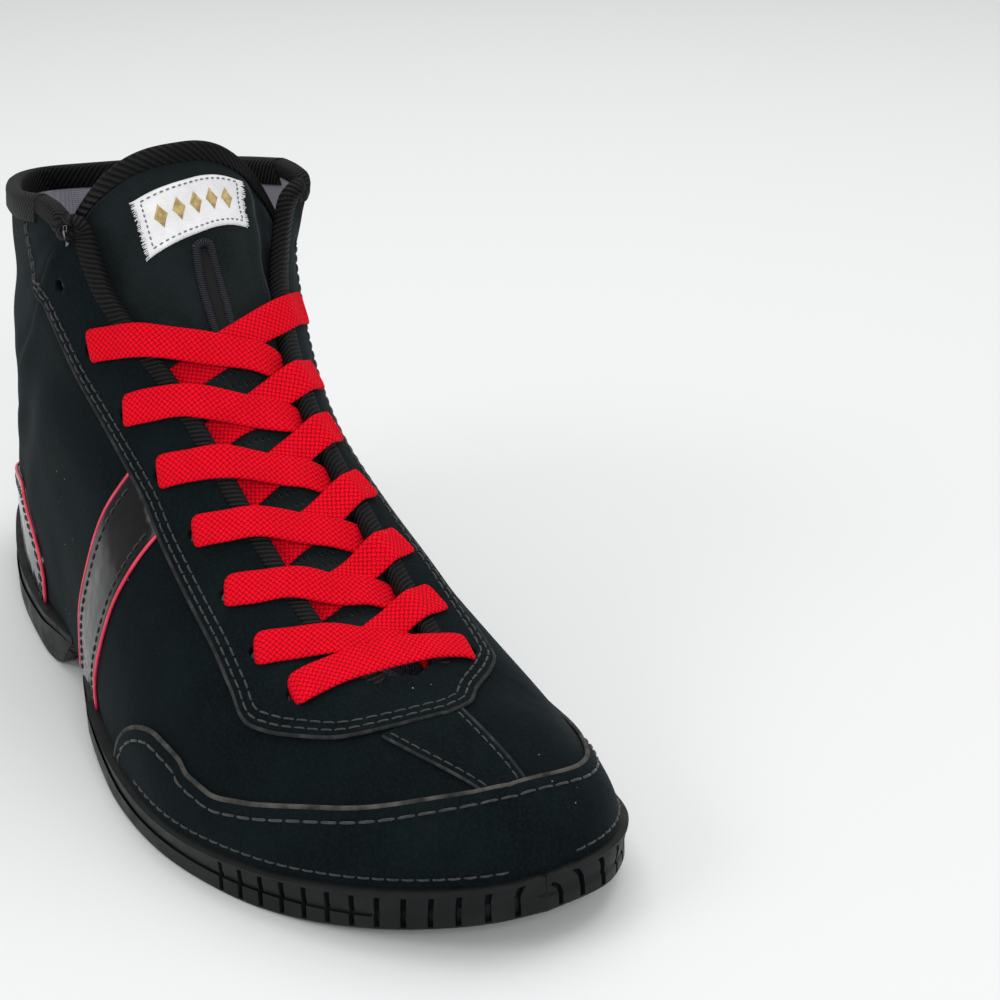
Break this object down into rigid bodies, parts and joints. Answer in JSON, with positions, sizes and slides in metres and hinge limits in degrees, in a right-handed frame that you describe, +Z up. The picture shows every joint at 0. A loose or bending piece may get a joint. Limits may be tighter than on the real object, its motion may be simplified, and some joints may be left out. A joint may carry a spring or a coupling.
{
  "type": "wrestling shoe",
  "caption": "High-cut laced wrestling shoe with a suede upper, split rubber sole, flat laces and a padded tongue.",
  "frame": {"origin": "middle of the footprint's length and width, on the ground", "axes": "+X to the toe, +Y to the medial (inner) side, +Z up"},
  "size_m": [0.2746, 0.0968, 0.1424],
  "materials": {
    "suede": "black suede with a short nap, bluish where it catches light",
    "patent": "glossy black patent with a red piped edge",
    "rubber": "dark grey semi-matt rubber",
    "lining": "pale lilac-grey knitted lining",
    "lace": "flat braided red lace",
    "label": "white woven satin label",
    "binding": "black ribbed tape"
  },
  "bodies": {
    "root": {"upper": "suede", "forefoot_outsole": "rubber", "heel_outsole": "rubber", "insole": "lining", "tongue": "suede", "toe_guard": "suede", "throat_bib": "suede", "eyestay_lateral": "suede", "eyestay_medial": "suede", "vamp_strip": "suede", "heel_counter": "patent", "saddle_band_lateral": "patent", "saddle_band_medial": "patent", "tongue_label": "label", "lace_bar": "lace", "lace_cross_1": "lace", "lace_cross_2": "lace", "lace_cross_3": "lace", "lace_cross_4": "lace", "lace_cross_5": "lace", "lace_cross_6": "lace"}
  },
  "joints": []
}
